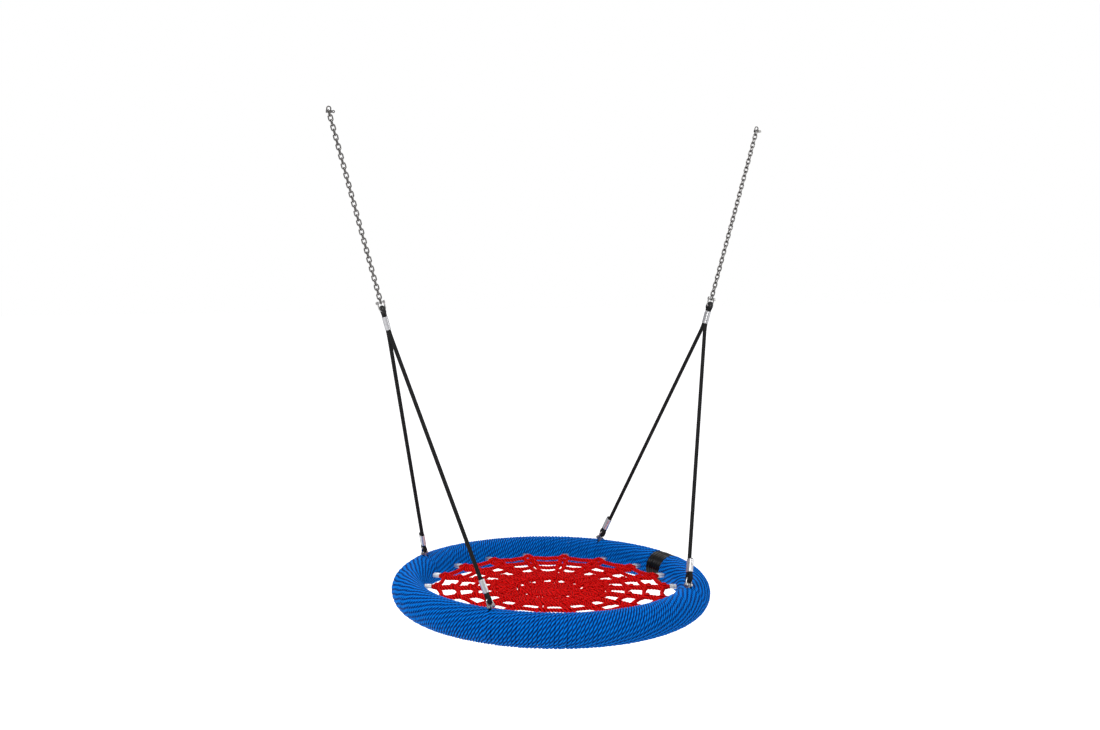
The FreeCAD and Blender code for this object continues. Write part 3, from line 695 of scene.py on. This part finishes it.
def winding_sector(name, start):
    """A quarter of the winding: turns side by side, parted at the lugs and pressed in under the lashing."""
    turns = TURNS // 4
    count = turns * SAMPLES_PER_TURN
    even = start + np.linspace(0, math.pi / 2, count + 1)
    psi = TURNS * (even - start) - math.pi / 2
    theta = even.copy()
    rho = np.full(count + 1, RIM_RADIUS - WINDING_RADIUS + WINDING_PROUD)
    squeeze = parted_at_lugs(start, psi, theta, rho)
    from_lashing = (np.abs(even - LASHING_MIDDLE) - LASHING_WIDTH / 2) * RING_RADIUS / LASHING_EDGE
    rho -= LASHING_PRESS / (1 + np.exp(np.minimum(from_lashing, FAR_FROM_LASHING)))
    places = np.arange(turns + 4)
    turn_index = np.arange(count + 1) / SAMPLES_PER_TURN
    rho += LIFT_WANDER * np.interp(turn_index, places, rng.normal(0, 1, turns + 4))
    theta += SIDE_WANDER / RING_RADIUS * np.interp(turn_index, places, rng.normal(0, 1, turns + 4))
    points = rim_point(theta, psi, rho)
    normals = points - rim_point(theta, psi, np.zeros_like(rho))
    pitch = (RING_RADIUS + rho * np.cos(psi)) * TAU / TURNS
    wide = squeeze * pitch * TURN_OVERLAP / (2 * WINDING_RADIUS)
    shape = Shape()
    # The turns carry the mask of the painted shade where they lie between their neighbours.
    laid_rope(shape, points, WINDING_RADIUS, WINDING_LAY, bulge=0.56, normals=normals, wide=wide, painted_bed_shade=True)
    on_seat(shape.object("winding_" + name, BLUE), "rim_winding_" + name)


for i, name in enumerate(["right", "back", "left", "front"]):
    winding_sector(name, math.radians(-45 + 90 * i))


def lashing():
    """Glossy black turns over the winding."""
    psi = np.linspace(0, TAU, 120, endpoint=False)
    angles = np.arange(12) * TAU / 12
    shape = Shape()
    for i in range(LASHING_TURNS):
        middle = LASHING_MIDDLE + LASHING_WIDTH * ((i + 0.5) / LASHING_TURNS - 0.5)
        tilt = rng.normal(0, 0.6 * MM) / RING_RADIUS
        phase = rng.uniform(0, TAU)
        theta = middle + tilt * np.sin(psi + phase)
        height = 0.6 * MM + rng.normal(0, 0.5 * MM) + 0.3 * MM * np.sin(2 * psi + phase)
        rho = RIM_RADIUS - LASHING_HALF_HEIGHT + height
        points = rim_point(theta, psi, rho)
        outward = unit(points - rim_point(theta, psi, np.zeros_like(psi)))
        tangents = unit(np.roll(points, -1, 0) - np.roll(points, 1, 0))
        sides = np.cross(tangents, outward)
        pitch = (RING_RADIUS + rho * np.cos(psi)) * LASHING_WIDTH / LASHING_TURNS
        x = LASHING_HALF_HEIGHT * np.sin(angles)
        y = (pitch * 0.54)[:, None] * np.cos(angles)
        rings = points[:, None] + outward[:, None] * x[None, :, None] + sides[:, None] * y[..., None]
        shape.grid(rings, along(points, True)[0], True)
    on_seat(shape.object("lashing_turns", LASHING), "rim_lashing")


lashing()


# ---------------------------------------------------------------- net

NET_LAY = 36 * MM
NET_SAG = 8 * MM
NET_EDGE = 0.47
MIDDLE_SAG = 8 * MM
MIDDLE_SAG_RADIUS = 0.11
SPOKE_STEP = 360 / SPOKES
CLIP_START = 0.453
CLIP_LENGTH = 26 * MM
CLIP_HALF_WIDE = 15.4 * MM
CLIP_HALF_HIGH = 7.9 * MM
CLIP_WALL = 1.6 * MM
NARROW_START = 0.442
NARROW_LENGTH = 0.010
CLOSE_FOOT = 0.197
CLOSE_RADIUS = 7.4 * MM
CLOSE_ROWS = 5
CLOSE_WAVES = 36
CLOSE_TOP = 202 * MM
ROW_STEP = 12.6 * MM
STITCH_RADIUS = 5.4 * MM
STITCH_REACH = 13 * MM
STAR_POINTS = 12
STAR_HEAD = 116 * MM
STAR_FOOT = 84 * MM
HUB_TOP = 71.4 * MM
HUB_RADIUS = 7.2 * MM
HUB_ROWS = 5


def sag(radius):
    """How far the net hangs through at this distance from its middle, under its own weight."""
    whole = NET_SAG * max(0.0, 1 - (radius / NET_EDGE) ** 2)
    return whole + MIDDLE_SAG * math.exp(-(radius / MIDDLE_SAG_RADIUS) ** 2)


def polar(radius, degrees, across=0.0, lift=0.0):
    """A point of the net, across beside the spoke at this angle and lifted off the sagging net."""
    a = math.radians(degrees)
    return Vector((radius * math.cos(a) - across * math.sin(a), radius * math.sin(a) + across * math.cos(a),
                   RING_HEIGHT + lift - sag(radius)))


def net_piece(name, node, paths, closed, step=3.2 * MM, radius=NET_RADIUS):
    """Ropes of the open net, a little thinner inside the clips."""
    shape = Shape()
    for path in paths:
        points = respaced(spline(path, closed), step, closed)
        out = np.clip((np.hypot(points[:, 0], points[:, 1]) - NARROW_START) / NARROW_LENGTH, 0, 1)
        girth = 1 - (1 - CLIP_BORE / radius) * out
        laid_rope(shape, points, radius, NET_LAY, bulge=0.66, closed=closed, wide=girth, high=girth,
                  start=rng.uniform(0, NET_LAY))
    on_seat(shape.object(name, RED), node)


def ring_rope(shape, path, step, radius):
    """A closed rope of the close middle of the net."""
    laid_rope(shape, respaced(spline(path, True), step, True), radius, NET_LAY, closed=True)


def spoke_loop(degrees, half):
    """Both sides of a loop over one spoke; half lists each point's radius, offset and lift, head first."""
    left = [polar(r, degrees, -across, lift) for r, across, lift in half]
    right = [polar(r, degrees, across, lift) for r, across, lift in half]
    return left[::-1] + right


def waved_ring(middle, waves, shift, swing, lift, wander=0.0):
    """A row that waves in and out and up and down round the middle of the net."""
    path = []
    for i in range(waves * 2):
        side = 1 if i % 2 else -1
        stray = rng.normal(0, wander) if wander else 0.0
        path.append(polar(middle + side * swing + stray, 180 / waves * i + shift, 0, side * lift))
    return path


def first_row():
    """Bights from clip to clip; each spoke is the two strands of its neighbours."""
    paths = []
    foot = FEET[0]
    for i in range(SPOKES):
        a, b = SPOKE_STEP * i, SPOKE_STEP * (i + 1)
        jitter = rng.normal(0, 1.2 * MM)
        paths.append([polar(0.506, a, STRAND_OFFSET), polar(0.470, a, STRAND_OFFSET),
                      polar(0.448, a, STRAND_OFFSET + 1 * MM), polar(foot + 8 * MM, a, 15 * MM),
                      polar(foot + 2 * MM, a, 26 * MM), polar(foot - 1 * MM, a + SPOKE_STEP * 0.36),
                      polar(foot - 4 * MM + jitter, (a + b) / 2, 0, -1.5 * MM),
                      polar(foot - 1 * MM, b - SPOKE_STEP * 0.36),
                      polar(foot + 2 * MM, b, -26 * MM), polar(foot + 8 * MM, b, -15 * MM),
                      polar(0.448, b, -STRAND_OFFSET - 1 * MM), polar(0.470, b, -STRAND_OFFSET),
                      polar(0.506, b, -STRAND_OFFSET)])
    net_piece("net_first_bights", "net_row_1", paths, False)


def loop_row(index):
    """An open row, looped over the bights of the row outside it."""
    head, foot = FEET[index - 1] + (3 if index > 1 else -6) * MM, FEET[index]
    half = [(head + 17 * MM, 7 * MM, 7.5 * MM), (head + 10 * MM, 16.5 * MM, 3 * MM),
            (head - 3 * MM, 14 * MM, -5 * MM), (head - 16 * MM, 9 * MM, -2 * MM),
            (foot + 17 * MM, 8.5 * MM, 0), (foot + 5 * MM, 13 * MM, 0), (foot + 0.5 * MM, 27 * MM, 0)]
    path = []
    for i in range(SPOKES):
        a = SPOKE_STEP * i + rng.normal(0, 0.25)
        path += spoke_loop(a, half)
        path.append(polar(foot - 3.5 * MM + rng.normal(0, 1.2 * MM), a + SPOKE_STEP / 2, 0, -1 * MM))
    net_piece("net_loops_%d" % (index + 1), "net_row_%d" % (index + 1), [path], True)


def close_band():
    """A row looped over the last open row, then five drawn tight into each other, with stitches over them."""
    outer = []
    for i in range(SPOKES):
        a = SPOKE_STEP * i
        head = FEET[3] + rng.normal(0, 1 * MM)
        outer += spoke_loop(a, [(head + 13 * MM, 5 * MM, 6 * MM), (head + 7 * MM, 12 * MM, 3 * MM),
                                (head - 4 * MM, 10 * MM, -4 * MM), (CLOSE_FOOT + 8 * MM, 8 * MM, 0),
                                (CLOSE_FOOT + 1 * MM, 19 * MM, 0)])
        outer.append(polar(CLOSE_FOOT - 2 * MM, a + SPOKE_STEP / 2))
    paths = [outer]
    for k in range(1, CLOSE_ROWS + 1):
        shift = (k % 2) * 180 / CLOSE_WAVES
        middle = CLOSE_TOP - ROW_STEP * k
        paths.append(waved_ring(middle, CLOSE_WAVES, shift, 2.2 * MM, 3.2 * MM, wander=0.6 * MM))
    shape = Shape()
    for path in paths:
        ring_rope(shape, path, 3.2 * MM, CLOSE_RADIUS)
    for k in range(1, CLOSE_ROWS + 1):
        middle = CLOSE_TOP - ROW_STEP * (k - 0.5)
        for i in range(SPOKES):
            a = SPOKE_STEP * i + rng.normal(0, 2.0) + (2.0 if k % 2 else -1.0)
            stitch = []
            for j in range(8):
                t = TAU * j / 8
                stitch.append(polar(middle + STITCH_REACH * math.cos(t), a, 5.0 * MM * math.sin(t + 0.6),
                                    7.5 * MM * math.sin(t)))
            ring_rope(shape, stitch, 3.0 * MM, STITCH_RADIUS)
    on_seat(shape.object("net_close_rows", RED), "net_close_band")


def star_row():
    """The row of twelve loops inside the close band, which leaves the star of holes."""
    half = [(STAR_HEAD + 12 * MM, 5 * MM, 8 * MM), (STAR_HEAD + 2 * MM, 10 * MM, -4 * MM),
            (STAR_HEAD - 12 * MM, 6.4 * MM, 0), (STAR_FOOT + 8 * MM, 7 * MM, 0), (STAR_FOOT, 13 * MM, 0)]
    path = []
    for i in range(STAR_POINTS):
        path += spoke_loop(360 / STAR_POINTS * i + rng.normal(0, 0.8), half)
    net_piece("net_star_loops", "net_star_row", [path], True, 2.8 * MM, CLOSE_RADIUS)


def hub():
    """Rows drawn tight to the middle of the net, and the knot that closes them."""
    shape = Shape()
    for k in range(HUB_ROWS):
        middle = HUB_TOP - ROW_STEP * k
        waves = max(6, int(round(12 * middle / HUB_TOP)))
        path = waved_ring(middle, waves, (k % 2) * 90 / waves, 1.6 * MM, 3.0 * MM)
        ring_rope(shape, path, 2.4 * MM, HUB_RADIUS)
    knot = [polar(9 * MM, 90 * i, 0, (6 if i % 2 else -5) * MM) for i in range(4)]
    ring_rope(shape, knot, 2.0 * MM, NET_RADIUS)
    on_seat(shape.object("net_hub_rows", RED), "net_hub")


def clips():
    """Pressed clips that hold each spoke's two strands at the inner rim."""
    shape = Shape()
    for i in range(SPOKES):
        a = math.radians(SPOKE_STEP * i)
        out = np.array([math.cos(a), math.sin(a), 0.0])
        side = np.array([-math.sin(a), math.cos(a), 0.0])
        origin = out * CLIP_START + np.array([0, 0, RING_HEIGHT])
        sleeve(shape, origin, out, side, CLIP_LENGTH, CLIP_HALF_WIDE, CLIP_HALF_HIGH, CLIP_WALL,
               waist=0.16, crimps=(0.25, 0.75), depth=0.5 * MM)
    on_seat(shape.object("net_pressed_clips", CLIP), "net_clips")


first_row()
for row in (1, 2, 3):
    loop_row(row)
close_band()
star_row()
hub()
clips()


# ---------------------------------------------------------------- finishes of the frame's own parts

FINISHES = {
    # The shackles and the chain take lit and shaded copies of the same stainless steel.
    "shackle": LIT_STEEL,
    "top_shackle": SHADED_STEEL,
    "chain": SHADED_STEEL,
    "thimble": BLACK_PLASTIC,
    "lug": GALVANISED,
    "ring_tube": GALVANISED,
    "ring_foam": FOAM,
    "anchor_loops": RED,
}
for node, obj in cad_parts.items():
    for word, material in FINISHES.items():
        if word in node:
            obj.data.materials.clear()
            obj.data.materials.append(material)
